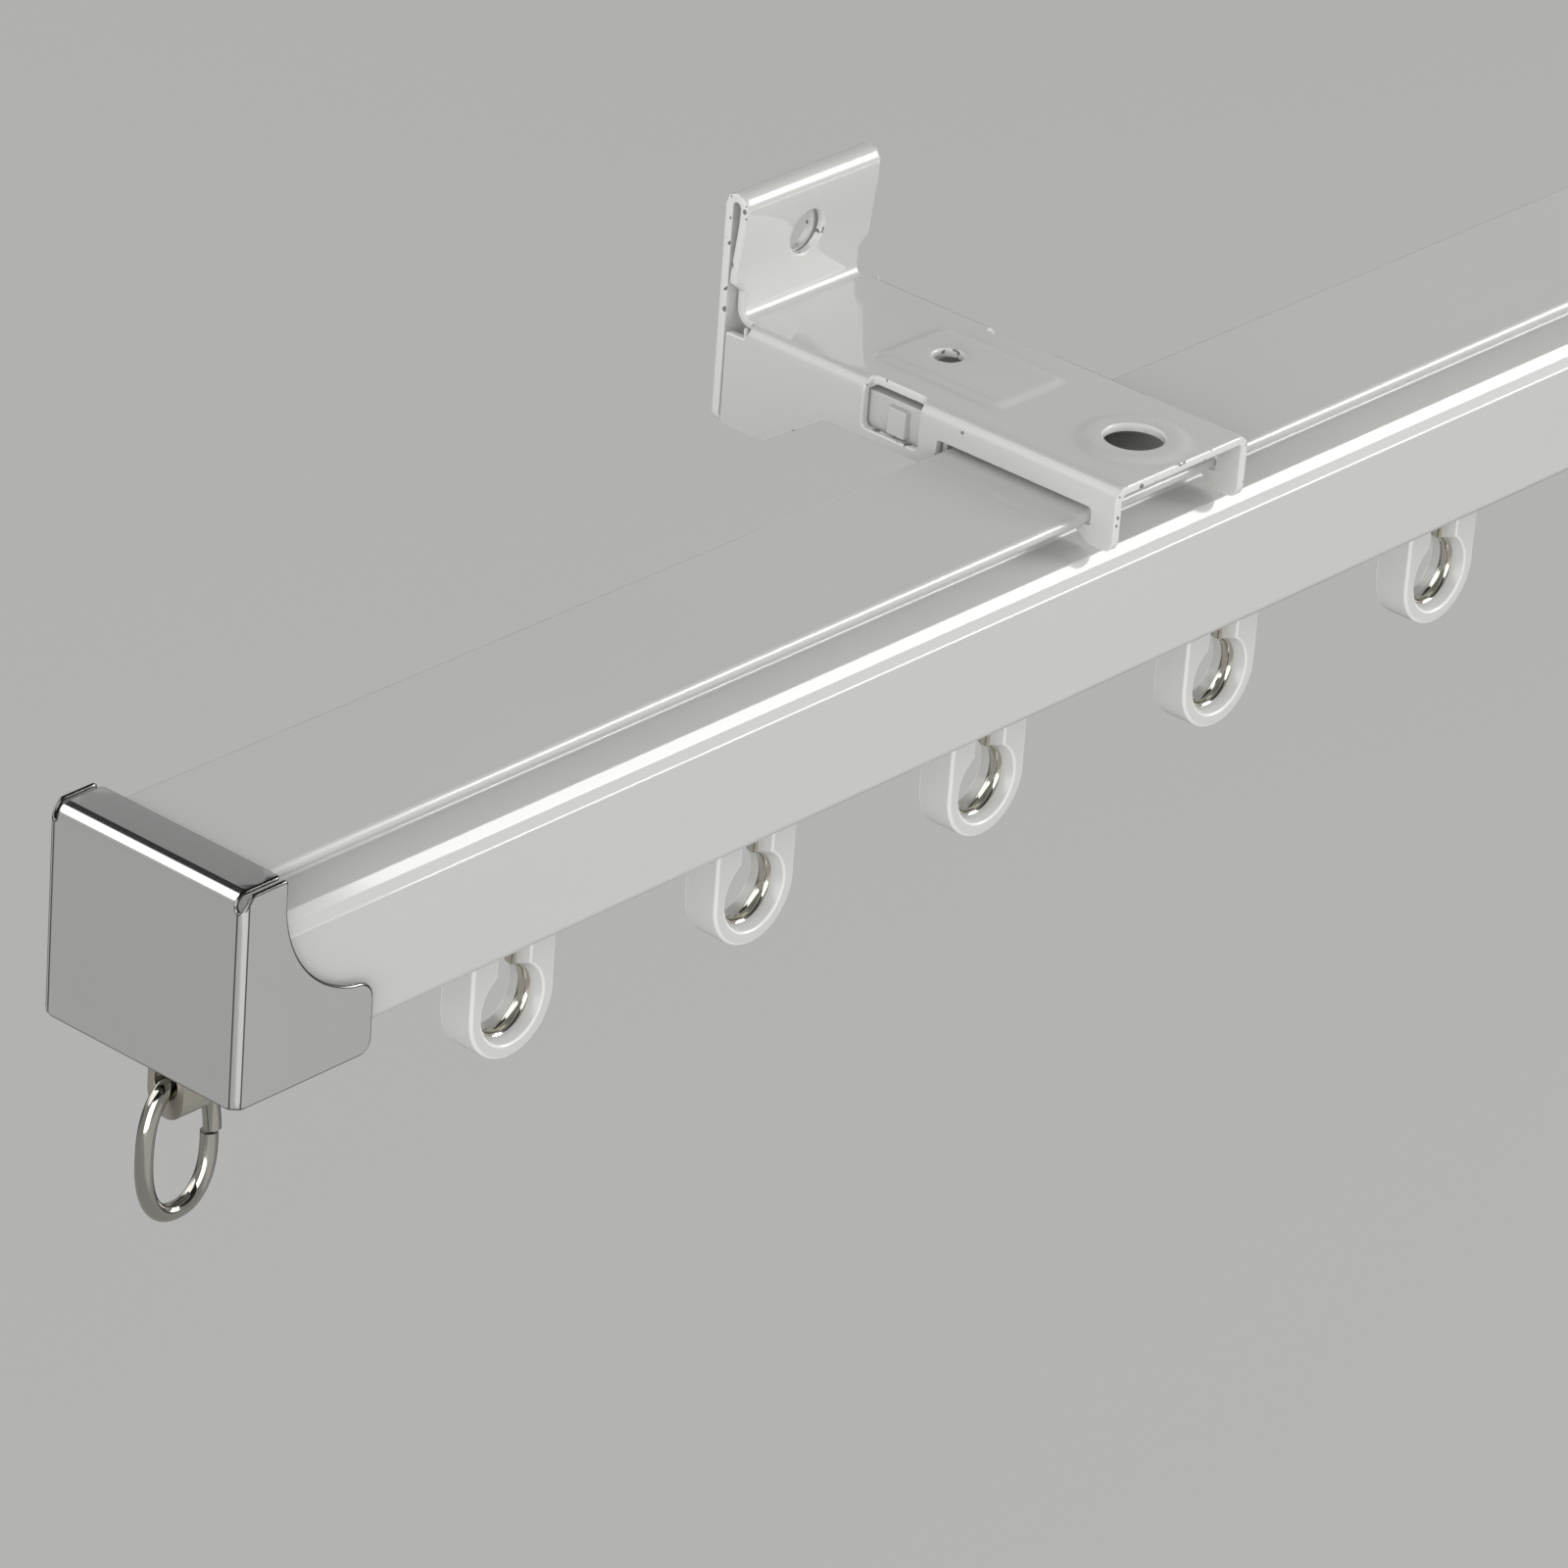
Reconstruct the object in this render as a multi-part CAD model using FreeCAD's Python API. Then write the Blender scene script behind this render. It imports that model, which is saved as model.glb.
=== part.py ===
import FreeCAD, Part
import math
import os
from FreeCAD import Vector

# Wall-mounted curtain track: a roll-formed rail with folded caps over its ends, hung from two
# stamped wall brackets, with wheeled runners in the rail and a ring at each end.
# Millimetres. X runs along the rail, +Y points into the wall, Z is up.
# The origin lies on the wall, midway between the two bracket screws.

# Rail: one painted steel strip, roll-formed, with a hem along each lip
track_length = 420.0        # over the faces of the two end caps
rail_width = 23.2
rail_height = 19.2
rail_sheet = 0.6
lip_width = 19.0            # across the two hemmed lips
hem_gap = 0.1               # left open inside a hem
neck_width = 13.6
neck_round = 0.4
shoulder_drop = 4.2         # from the rail's top to its shoulders
shoulder_round = 1.8
track_round = 1.0
slot_width = 6.0

# End caps: plated sheet, folded to a face, a top flap and two side flaps
cap_sheet = 0.5
cap_side_fit = 0.4          # side flap to rail wall
cap_top_fit = 0.05          # top flap to rail top
cap_skirt = 2.3             # cap below the rail's underside
cap_bend = 1.0              # outside radius of the folds
cap_top_flap = 5.75
cap_side_flap = 17.6
cap_shank = 2.4             # straight edge of a side flap, above its cut-out
cap_cutout = 12.1           # radius of the cut-out
cap_flap_round = 1.8
cap_foot_round = 0.6
cap_seam = 0.35             # between top flap and side flap
rail_end_gap = 0.1          # fold of the cap's face to rail end

# End stops: cast blocks clamped in the rail ends, each with an eyed lug through the slot
stop_length = 14.0
stop_fit = 0.4
lug_slot_fit = 0.6
lug_inset = 2.7             # rail end to lug
lug_thickness = 3.7
lug_drop = 7.2              # lug below the cap
eye_radius = 1.5
eye_height = 3.6            # eye centre above the lug's lowest point
clamp_screw_radius = 2.0
clamp_screw_inset = 10.4    # rail end to screw axis
clamp_screw_fit = 0.02
clamp_screw_recess = 0.4
screw_slot_width = 0.7
screw_slot_depth = 1.0

# End rings: bent wire, butted on the long side
ring_wire = 1.75
ring_width = 10.3
ring_height = 15.8
ring_seat_gap = 0.12
ring_butt_gap = 0.3

# Wall brackets: one stamped sheet each
bracket_inset = 130.3       # end of the track to the bracket's middle
bracket_width = 20.4
bracket_sheet = 1.0
bracket_bend = 1.4          # outside radius of the side folds
wall_bend = 2.0             # outside radius of the fold up to the wall plate
rail_reach = 40.4           # wall to the rail's middle
arm_rise = 3.6              # arm's top above the rail's top
plate_rise = 13.9           # wall plate above the arm's top
plate_gap = 0.2             # between the two layers of the wall plate
plate_corner = 1.2
screw_rise = 7.2            # wall screw above the arm's top
screw_hole_radius = 2.5
corner_relief = 1.5
relief_rise = 3.2
relief_run = 1.8
gusset_drop = 8.1           # deep end of a side flange, below the rail's top
gusset_length = 7.0
gusset_slope = 8.0
gusset_round = 1.0
flange_drop = 2.8           # side flange below the rail's top
window_setback = 2.4        # from the rail notch to the window
window_length = 7.4
window_sill = 1.6           # window's sill below the rail's top
window_depth = 1.7          # how far it bites into the arm
hook_clearance = 0.15
hook_stem = 3.15
hook_neck_gap = 1.0
hook_shoulder_gap = 0.75
hook_round = 1.3
hook_tip_round = 0.95       # share of half the hook toe's thickness
notch_gap = 0.5             # rail top to the notch above it
lock_notch_gap = 1.1        # rear lip to the notch's end
notch_round = 0.5
emboss_width = 10.8
emboss_length = 17.6
emboss_start = 6.4          # rail middle to emboss
emboss_height = 0.5
emboss_taper = 0.45
latch_view_radius = 1.6     # small round hole through the emboss
latch_view_offset = 18.2
boss_radius = 5.6
boss_height = 0.4
boss_taper = 0.7
arm_hole_radius = 3.1
arm_hole_offset = 6.3       # rail middle to hole, towards the room

# Rail locks: moulded slides in the brackets, with a nose under the rail's rear lip
lock_side_fit = 0.3
lock_lip_fit = 0.15
lock_shoulder_gap = 0.7
lock_neck_gap = 0.9
lock_arm_gap = 0.5
lock_front_gap = 0.7        # rear lip to the lock's body
lock_length = 11.0
lock_round = 0.5
lock_ear_length = 2.4
lock_ear_start = 2.0        # front of the window to the ear
lock_ear_height = 3.0
lock_sill_gap = 0.3
lock_ear_recess = 0.3

# Runners: moulded shanks over a steel core, riveted axle, two wheels
runner_places = [48.1, 82.4, 117.1, 153.9, 190.6]   # from the left end of the track
runner_width = 11.4
runner_height = 27.4
runner_slot_gap = 0.9
runner_head = 3.8           # axle to the top of the shank
runner_head_round = 4.6
runner_chamfer = 0.7
core_sheet = 1.8
core_inset = 1.1
core_bevel = 0.6            # share of the core's half width
core_fit = 0.02
core_head_recess = 0.2
keyhole_radius = 4.4        # at the shank's front
keyhole_flare = 0.6
keyhole_edge = 5.7          # hole centre to the foot of the shank
keyhole_slot_width = 3.5
keyhole_slot_reach = 11.2   # hole centre to the end of the slot
core_keyhole_step = 0.4    # core standing proud in the keyhole
wheel_radius = 4.35
wheel_width = 2.8
wheel_edge_gap = 1.85       # slot edge to the wheel's inner face
wheel_lift = 0.05           # running gap over the track
wheel_chamfer = 0.7
wheel_dish_radius = 3.1
wheel_dish_depth = 0.9
wheel_dish_taper = 0.35
wheel_side_play = 0.1
wheel_bore_play = 0.06
axle_radius = 1.0
axle_fit = 0.01
axle_head_radius = 1.75
axle_head_height = 0.6
axle_boss_radius = 2.3

# Working margins
over = 1.0                  # how far a cutting shape runs past what it cuts
tiny = 1e-6                 # two places closer than this are one

# Levels and lines shared by the pieces
rail_mid = -rail_reach
rail_top = -screw_rise - arm_rise
arm_top = rail_top + arm_rise
rail_bottom = rail_top - rail_height
track_top = rail_bottom + rail_sheet
lip_thickness = 2 * rail_sheet + hem_gap
lip_half = lip_width / 2
neck_half = neck_width / 2
rail_half = rail_width / 2
slot_half = slot_width / 2
left_end = -track_length / 2
rail_start = left_end + cap_bend + rail_end_gap
cap_half = rail_half + cap_side_fit + cap_sheet
cap_top = rail_top + cap_top_fit + cap_sheet
cap_bottom = rail_bottom - cap_skirt
lug_middle = rail_start + lug_inset + lug_thickness / 2
lug_bottom = cap_bottom - lug_drop
eye_level = lug_bottom + eye_height
window_start = lip_half + lock_notch_gap + window_setback
axle_level = track_top + wheel_radius + wheel_lift


def along_x(start):
    """Places a (y, z) outline in the plane X = start."""
    return lambda y, z: Vector(start, y, z)


def along_y(start):
    """Places an (x, z) outline in the plane Y = start."""
    return lambda x, z: Vector(x, start, z)


def rounded_face(corners, place):
    """A flat face from corners (u, v, radius); each corner with a radius becomes a tangent arc."""
    count = len(corners)
    starts, ends, middles = [], [], []
    for index, (u, v, radius) in enumerate(corners):
        here = Vector(u, v, 0)
        before = Vector(*corners[index - 1][:2], 0) - here
        after = Vector(*corners[(index + 1) % count][:2], 0) - here
        before.normalize()
        after.normalize()
        half = before.getAngle(after) / 2
        cut = radius / math.tan(half)
        bisector = before + after
        bisector.normalize()
        starts.append(here + before * cut)
        ends.append(here + after * cut)
        middles.append(here + bisector * (radius / math.sin(half) - radius))
    edges = []
    for index in range(count):
        if corners[index][2] > 0:
            points = [starts[index], middles[index], ends[index]]
            edges.append(Part.Arc(*[place(p.x, p.y) for p in points]).toShape())
        leave, reach = ends[index], starts[(index + 1) % count]
        if leave.distanceToPoint(reach) > tiny:
            edges.append(Part.LineSegment(place(leave.x, leave.y), place(reach.x, reach.y)).toShape())
    return Part.Face(Part.Wire(edges))


def bar_x(corners, start, end):
    """A bar along X with a (y, z) section."""
    return rounded_face(corners, along_x(start)).extrude(Vector(end - start, 0, 0))


def bar_y(corners, start, end):
    """A bar along Y with an (x, z) section."""
    return rounded_face(corners, along_y(start)).extrude(Vector(0, end - start, 0))


def box(x0, x1, y0, y1, z0, z1):
    return Part.makeBox(x1 - x0, y1 - y0, z1 - z0, Vector(x0, y0, z0))


def frustum(x_half0, y_half0, x_half1, y_half1, middle_x, middle_y, z0, z1):
    """A rectangular pad whose sides lean in from z0 to z1."""
    loops = []
    for x_half, y_half, z in ((x_half0, y_half0, z0), (x_half1, y_half1, z1)):
        points = [Vector(middle_x + sx * x_half, middle_y + sy * y_half, z)
                  for sx, sy in ((-1, -1), (1, -1), (1, 1), (-1, 1), (-1, -1))]
        loops.append(Part.makePolygon(points))
    return Part.makeLoft(loops, True, True)


def mirrored(shape):
    """The same piece at the other end of the track."""
    return shape.mirror(Vector(0, 0, 0), Vector(1, 0, 0))


def make_rail():
    """The strip's section: top plate, hemmed lips, neck, shoulders, walls and two wheel tracks."""
    hem = lip_thickness / 2
    fold = hem_gap / 2
    inner = rail_sheet
    half = [
        (lip_half, 0, hem), (lip_half, -lip_thickness, hem),
        (neck_half, -lip_thickness, neck_round), (neck_half, -shoulder_drop, neck_round),
        (rail_half, -shoulder_drop, shoulder_round), (rail_half, -rail_height, track_round),
        (slot_half, -rail_height, 0), (slot_half, inner - rail_height, 0),
        (rail_half - inner, inner - rail_height, track_round - inner),
        (rail_half - inner, -shoulder_drop - inner, shoulder_round - inner),
        (neck_half - inner, -shoulder_drop - inner, neck_round + inner),
        (neck_half - inner, -inner - hem_gap, neck_round + inner),
        (lip_half - inner, -inner - hem_gap, fold), (lip_half - inner, -inner, fold),
    ]
    other = [(-y, z, r) for y, z, r in reversed(half)]
    section = [(rail_mid + y, rail_top + z, r) for y, z, r in half + other]
    return bar_x(section, rail_start, -rail_start)


def make_end_cap():
    """Face, top flap and side flaps, with the quarter-round cut-out in each side flap."""
    back = left_end + cap_side_flap
    outer = box(left_end, back, rail_mid - cap_half, rail_mid + cap_half, cap_bottom, cap_top)
    folds = [e for e in outer.Edges if e.BoundBox.XMax < left_end + tiny
             and e.BoundBox.ZMax > cap_top - tiny]
    outer = outer.makeFillet(cap_bend, folds)
    inner_half = cap_half - cap_sheet
    hollow = box(left_end + cap_sheet, back + over, rail_mid - inner_half, rail_mid + inner_half,
                 cap_bottom - over, cap_top - cap_sheet)
    inner_folds = [e for e in hollow.Edges if e.BoundBox.XMax < left_end + cap_sheet + tiny
                   and e.BoundBox.ZMax > cap_top - cap_sheet - tiny]
    hollow = hollow.makeFillet(cap_bend - cap_sheet, inner_folds)
    flap_edge = left_end + cap_top_flap
    step = cap_top - cap_shank - cap_cutout
    wide = cap_half + over
    blank = bar_y([(left_end - over, cap_top + over, 0), (back, cap_top + over, 0),
                   (back, cap_bottom, cap_foot_round), (left_end - over, cap_bottom, 0)],
                  rail_mid - wide, rail_mid + wide)
    reach = back + cap_cutout
    bite = bar_y([(flap_edge, step, cap_cutout), (reach, step, 0), (reach, cap_top + 2 * over, 0),
                  (flap_edge, cap_top + 2 * over, 0)], rail_mid - wide - over, rail_mid + wide + over)
    blank = blank.cut(bite)
    tips = [e for e in blank.Edges if e.BoundBox.XMin > back - tiny and e.BoundBox.ZLength < tiny
            and e.BoundBox.ZMin > (step + cap_bottom) / 2]
    blank = blank.makeFillet(cap_flap_round, tips)
    cap = outer.cut(hollow).common(blank)
    for side in (-1, 1):
        near = rail_mid + side * inner_half
        far = near - side * cap_seam
        cap = cap.cut(box(left_end - over, back, min(near, far), max(near, far),
                          cap_top - cap_sheet, cap_top + over))
    return cap


def make_end_stop():
    """A block that fills the rail's end, with the lug, its eye and the clamp screw's hole."""
    half = rail_half - rail_sheet - stop_fit
    top = rail_top - shoulder_drop - rail_sheet - stop_fit
    start = rail_start
    block = bar_x([(rail_mid - half, track_top, 0), (rail_mid + half, track_top, 0),
                   (rail_mid + half, top, shoulder_round), (rail_mid - half, top, shoulder_round)],
                  start, start + stop_length)
    lug_half = slot_half - lug_slot_fit
    lug = bar_x([(rail_mid - lug_half, lug_bottom, lug_half), (rail_mid + lug_half, lug_bottom, lug_half),
                 (rail_mid + lug_half, track_top + over, 0), (rail_mid - lug_half, track_top + over, 0)],
                start + lug_inset, start + lug_inset + lug_thickness)
    eye = Part.makeCylinder(eye_radius, lug_thickness + 2 * over,
                            Vector(start + lug_inset - over, rail_mid, eye_level), Vector(1, 0, 0))
    hole = Part.makeCylinder(clamp_screw_radius + clamp_screw_fit, top - track_top + 2 * over,
                             Vector(start + clamp_screw_inset, rail_mid, track_top - over))
    return block.fuse(lug).cut(eye).cut(hole).removeSplitter()


def make_stop_screw():
    """A slotted grub screw that jams the block between the tracks and the rail's top."""
    x = rail_start + clamp_screw_inset
    foot = track_top + clamp_screw_recess
    tip = rail_top - rail_sheet - clamp_screw_fit
    point = clamp_screw_radius / 2
    body = Part.makeCylinder(clamp_screw_radius, tip - point - foot, Vector(x, rail_mid, foot))
    cone = Part.makeCone(clamp_screw_radius, point, point, Vector(x, rail_mid, tip - point))
    wide = clamp_screw_radius + over
    drive = box(x - wide, x + wide, rail_mid - screw_slot_width / 2,
                rail_mid + screw_slot_width / 2, foot - over, foot + screw_slot_depth)
    return body.fuse(cone).removeSplitter().cut(drive)


def ring_top_level():
    """Wire centre at the top of a hanging ring: its curve just clears the floor of the eye."""
    bend = ring_width / 2 - ring_wire
    sag = bend - math.sqrt(bend ** 2 - (lug_thickness / 2) ** 2)
    return eye_level - eye_radius + ring_wire / 2 + sag + ring_seat_gap


def make_end_ring():
    """A long wire link hanging in the eye, in the plane of the rail, with its butt joint outwards."""
    bend = (ring_width - ring_wire) / 2
    straight = ring_height - ring_wire - 2 * bend
    top = ring_top_level() - bend
    circle = Part.Face(Part.Wire(Part.makeCircle(ring_wire / 2, Vector(lug_middle + bend, rail_mid, top),
                                                 Vector(0, 0, 1))))
    upper = circle.revolve(Vector(lug_middle, rail_mid, top), Vector(0, -1, 0), 180)
    low = circle.translated(Vector(0, 0, -straight))
    lower = low.revolve(Vector(lug_middle, rail_mid, top - straight), Vector(0, 1, 0), 180)
    sides = [low.translated(Vector(-shift, 0, 0)).extrude(Vector(0, 0, straight))
             for shift in (0, 2 * bend)]
    link = upper.multiFuse([lower] + sides).removeSplitter()
    middle = top - straight / 2
    butt = box(lug_middle + bend - ring_wire, lug_middle + bend + ring_wire, rail_mid - ring_wire,
               rail_mid + ring_wire, middle - ring_butt_gap / 2, middle + ring_butt_gap / 2)
    return link.cut(butt)


def flange_outline():
    """Side view of the arm and its flanges: gusset at the wall, rail notch, hooks at the front."""
    front = rail_mid - lip_half - hook_clearance - hook_stem
    toe_top = rail_top - lip_thickness - hook_clearance
    toe_bottom = rail_top - shoulder_drop + hook_shoulder_gap
    toe_end = rail_mid - neck_half - hook_neck_gap
    notch_front = rail_mid - lip_half - hook_clearance
    notch_back = rail_mid + lip_half + lock_notch_gap
    notch_top = rail_top + notch_gap
    wall_side = -bracket_sheet - plate_gap
    flange_bottom = rail_top - flange_drop
    deep = rail_top - gusset_drop
    blunt = hook_tip_round * (toe_top - toe_bottom) / 2
    return [
        (front, arm_top + over, 0), (wall_side, arm_top + over, 0), (wall_side, deep, 0),
        (-gusset_length, deep, gusset_round), (-gusset_length - gusset_slope, flange_bottom, gusset_round),
        (notch_back, flange_bottom, 0), (notch_back, notch_top, notch_round),
        (notch_front, notch_top, notch_round), (notch_front, toe_top, 0), (toe_end, toe_top, blunt),
        (toe_end, toe_bottom, blunt), (front, toe_bottom, hook_round),
    ]


def make_bracket(middle):
    """Channel arm, hemmed wall plate, windows, embosses and holes, all from one sheet."""
    half = bracket_width / 2
    sheet = bracket_sheet
    inside = bracket_bend - sheet
    corner = wall_bend - sheet
    front = rail_mid - lip_half - hook_clearance - hook_stem
    low = rail_top - gusset_drop - over
    layer = sheet + plate_gap
    left_wall, right_wall = middle - half + sheet, middle + half - sheet
    channel = bar_y([(middle - half, low, 0), (middle - half, arm_top, bracket_bend),
                     (middle + half, arm_top, bracket_bend), (middle + half, low, 0),
                     (right_wall, low, 0), (right_wall, arm_top - sheet, inside),
                     (left_wall, arm_top - sheet, inside), (left_wall, low, 0)], front, -layer - sheet)
    arm = channel.common(bar_x(flange_outline(), middle - half - over, middle + half + over))
    cheek = bar_x(flange_outline(), middle - half, middle + half)
    for side in (-1, 1):
        x0 = middle + side * half
        x1 = middle + side * (half - sheet)
        rear = cheek.common(box(min(x0, x1), max(x0, x1), -layer - sheet, -layer, low,
                                arm_top - bracket_bend))
        arm = arm.fuse(rear)
    top = arm_top + plate_rise
    foot = rail_top - gusset_drop
    hem = sheet + plate_gap / 2
    root = -layer - sheet - corner - over
    fold = plate_gap / 2
    plate = bar_x([(-layer - sheet, arm_top, corner), (-layer - sheet, top, hem), (0, top, hem),
                   (0, foot, 0), (-sheet, foot, 0), (-sheet, top - sheet, fold), (-layer, top - sheet, fold),
                   (-layer, arm_top - sheet, wall_bend), (root, arm_top - sheet, 0), (root, arm_top, 0)],
                  middle - half, middle + half)
    corners = [(middle - half, foot, plate_corner), (middle + half, foot, plate_corner),
               (middle + half, top, plate_corner), (middle - half, top, plate_corner)]
    plate = plate.common(bar_y(corners, root - over, over))
    body = arm.fuse(plate)
    for side in (-1, 1):
        x0 = middle + side * (half + over)
        x1 = middle + side * (half - corner_relief)
        body = body.cut(box(min(x0, x1), max(x0, x1), -layer - sheet - relief_run, -layer + plate_gap / 2,
                            arm_top - bracket_bend, arm_top + relief_rise))
        x1 = middle + side * (half - window_depth)
        body = body.cut(box(min(x0, x1), max(x0, x1), rail_mid + window_start,
                            rail_mid + window_start + window_length, rail_top - window_sill, arm_top + over))
    pad_middle = rail_mid + emboss_start + emboss_length / 2
    for rise, cutting in ((0, False), (-sheet, True)):
        floor = arm_top + rise
        pad = frustum(emboss_width / 2, emboss_length / 2, emboss_width / 2 - emboss_taper,
                      emboss_length / 2 - emboss_taper, middle, pad_middle, floor, floor + emboss_height)
        spot = Vector(middle, rail_mid - arm_hole_offset, floor)
        boss = Part.makeCone(boss_radius, boss_radius - boss_taper, boss_height, spot)
        body = body.cut(pad).cut(boss) if cutting else body.fuse(pad).fuse(boss)
    deep = 4 * sheet
    under = arm_top - deep / 2
    holes = [
        Part.makeCylinder(arm_hole_radius, deep, Vector(middle, rail_mid - arm_hole_offset, under)),
        Part.makeCylinder(latch_view_radius, deep, Vector(middle, rail_mid + latch_view_offset, under)),
        Part.makeCylinder(screw_hole_radius, layer + deep, Vector(middle, deep / 2, 0), Vector(0, -1, 0)),
    ]
    for hole in holes:
        body = body.cut(hole)
    return body.removeSplitter()


def make_rail_lock(middle):
    """A slide across the channel: nose under the lip, and an ear on the sill of each window."""
    half = bracket_width / 2 - bracket_sheet - lock_side_fit
    nose_tip = rail_mid + neck_half + lock_neck_gap
    nose_top = rail_top - lip_thickness - lock_lip_fit
    bottom = rail_top - shoulder_drop + lock_shoulder_gap
    body_front = rail_mid + lip_half + lock_front_gap
    back = body_front + lock_length
    top = arm_top - bracket_sheet - lock_arm_gap
    side_view = [(nose_tip, bottom, 0), (back, bottom, 0), (back, top, lock_round),
                 (body_front, top, lock_round), (body_front, nose_top, 0), (nose_tip, nose_top, lock_round)]
    slide = bar_x(side_view, middle - half, middle + half)
    ear_start = rail_mid + window_start + lock_ear_start
    sill = rail_top - window_sill + lock_sill_gap
    ear_half = bracket_width / 2 - lock_ear_recess
    ears = box(middle - ear_half, middle + ear_half, ear_start, ear_start + lock_ear_length,
               sill, sill + lock_ear_height)
    return slide.fuse(ears).removeSplitter()


def keyhole(x, z, radius, slot, start, end):
    """A round hole with a slot going up from it, cut from Y = start to Y = end."""
    depth = Vector(0, end - start, 0)
    hole = Part.makeCylinder(radius, end - start, Vector(x, start, z), Vector(0, 1, 0))
    top = z + keyhole_slot_reach
    track = rounded_face([(x - slot / 2, z, 0), (x + slot / 2, z, 0), (x + slot / 2, top, slot / 2),
                          (x - slot / 2, top, slot / 2)], along_y(start)).extrude(depth)
    return hole.fuse(track)


def core_corners(x, top, play):
    """Front view of the core, or of its pocket: a strip with bevelled foot and head corners."""
    half = runner_width / 2 - core_inset + play
    foot = axle_level + runner_head - runner_height + core_inset - play
    bevel = core_bevel * half
    left = [(x - half, top - bevel, 0), (x - half, foot + bevel, 0), (x - half + bevel, foot, 0)]
    right = [(2 * x - u, v, r) for u, v, r in reversed(left)]
    return left + right + [(x + half - bevel, top, 0), (x - half + bevel, top, 0)]


def make_runner(x):
    """One runner: moulded shank, steel core, riveted axle and two wheels."""
    thick = slot_width - 2 * runner_slot_gap
    face = thick / 2
    core = core_sheet / 2
    top = axle_level + runner_head
    eye = top - runner_height + keyhole_edge
    wheel_in = slot_half + wheel_edge_gap
    boss_end = wheel_in - wheel_side_play
    floor = wheel_in + wheel_width - wheel_dish_depth
    head = floor + wheel_side_play
    head_end = head + axle_head_height

    plate = bar_y(core_corners(x, top - core_head_recess, 0), rail_mid - core, rail_mid + core)
    plate = plate.cut(keyhole(x, eye, keyhole_radius - keyhole_flare - core_keyhole_step,
                              keyhole_slot_width - 2 * core_keyhole_step, rail_mid - face, rail_mid + face))
    pin_hole = Part.makeCylinder(axle_radius + axle_fit, 2 * (boss_end + over),
                                 Vector(x, rail_mid - boss_end - over, axle_level), Vector(0, 1, 0))
    plate = plate.cut(pin_hole)

    half = runner_width / 2
    front_view = [(x - half, top - runner_height, half), (x + half, top - runner_height, half),
                  (x + half, top, runner_head_round), (x - half, top, runner_head_round)]
    shank = bar_y(front_view, rail_mid - face, rail_mid + face)
    rims = [e for e in shank.Edges if e.BoundBox.YLength < tiny]
    shank = shank.makeChamfer(runner_chamfer, rims)
    boss = Part.makeCylinder(axle_boss_radius, 2 * boss_end, Vector(x, rail_mid - boss_end, axle_level),
                             Vector(0, 1, 0))
    shank = shank.fuse(boss).removeSplitter()
    shank = shank.cut(keyhole(x, eye, keyhole_radius - keyhole_flare, keyhole_slot_width,
                              rail_mid - face - over, rail_mid + face + over))
    flare = Part.makeCone(keyhole_radius, keyhole_radius - keyhole_flare, face - core,
                          Vector(x, rail_mid - face, eye), Vector(0, 1, 0))
    shank = shank.cut(flare)
    pocket = bar_y(core_corners(x, top + runner_width, core_fit), rail_mid - core, rail_mid + core)
    shank = shank.cut(pocket).cut(pin_hole)

    axle = Part.makeCylinder(axle_radius, 2 * head, Vector(x, rail_mid - head, axle_level), Vector(0, 1, 0))
    heads = [Part.makeCone(axle_head_radius, axle_head_radius - axle_head_height / 2, axle_head_height,
                           Vector(x, rail_mid + side * head, axle_level), Vector(0, side, 0))
             for side in (-1, 1)]
    axle = axle.multiFuse(heads).removeSplitter()

    def wheel(side):
        """Dished disc: (radius, distance from the rail's middle) turned about the axle."""
        bore = axle_radius + wheel_bore_play
        rim = wheel_in + wheel_width
        profile = [(bore, wheel_in), (wheel_radius, wheel_in), (wheel_radius, rim - wheel_chamfer),
                   (wheel_radius - wheel_chamfer, rim), (wheel_dish_radius, rim),
                   (wheel_dish_radius - wheel_dish_taper, floor), (bore, floor)]
        points = [Vector(x, rail_mid + side * out, axle_level + radius) for radius, out in profile]
        disc = Part.Face(Part.makePolygon(points + points[:1]))
        return disc.revolve(Vector(x, rail_mid, axle_level), Vector(0, 1, 0), 360)

    return {"body": shank, "core": plate, "axle": axle, "front_wheel": wheel(-1), "back_wheel": wheel(1)}


nodes = {"rail": make_rail()}
for name, piece in (("end_cap", make_end_cap()), ("end_stop", make_end_stop()),
                    ("stop_screw", make_stop_screw()), ("end_ring", make_end_ring())):
    nodes["left_" + name] = piece
    nodes["right_" + name] = mirrored(piece)
for side, place in (("left", left_end + bracket_inset), ("right", -left_end - bracket_inset)):
    nodes[side + "_bracket"] = make_bracket(place)
    nodes[side + "_rail_lock"] = make_rail_lock(place)
for number, place in enumerate(runner_places, 1):
    for name, piece in make_runner(left_end + place).items():
        nodes["runner_%d_%s" % (number, name)] = piece

os.makedirs("parts", exist_ok=True)
for name, shape in nodes.items():
    if not shape.isValid() or len(shape.Solids) != 1:
        raise ValueError("%s is not one valid solid (%d)" % (name, len(shape.Solids)))
    shape.exportStep("parts/%s.step" % name)
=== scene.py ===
import math

import bmesh
import bpy
import numpy as np
from mathutils import Matrix, Vector, geometry


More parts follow.
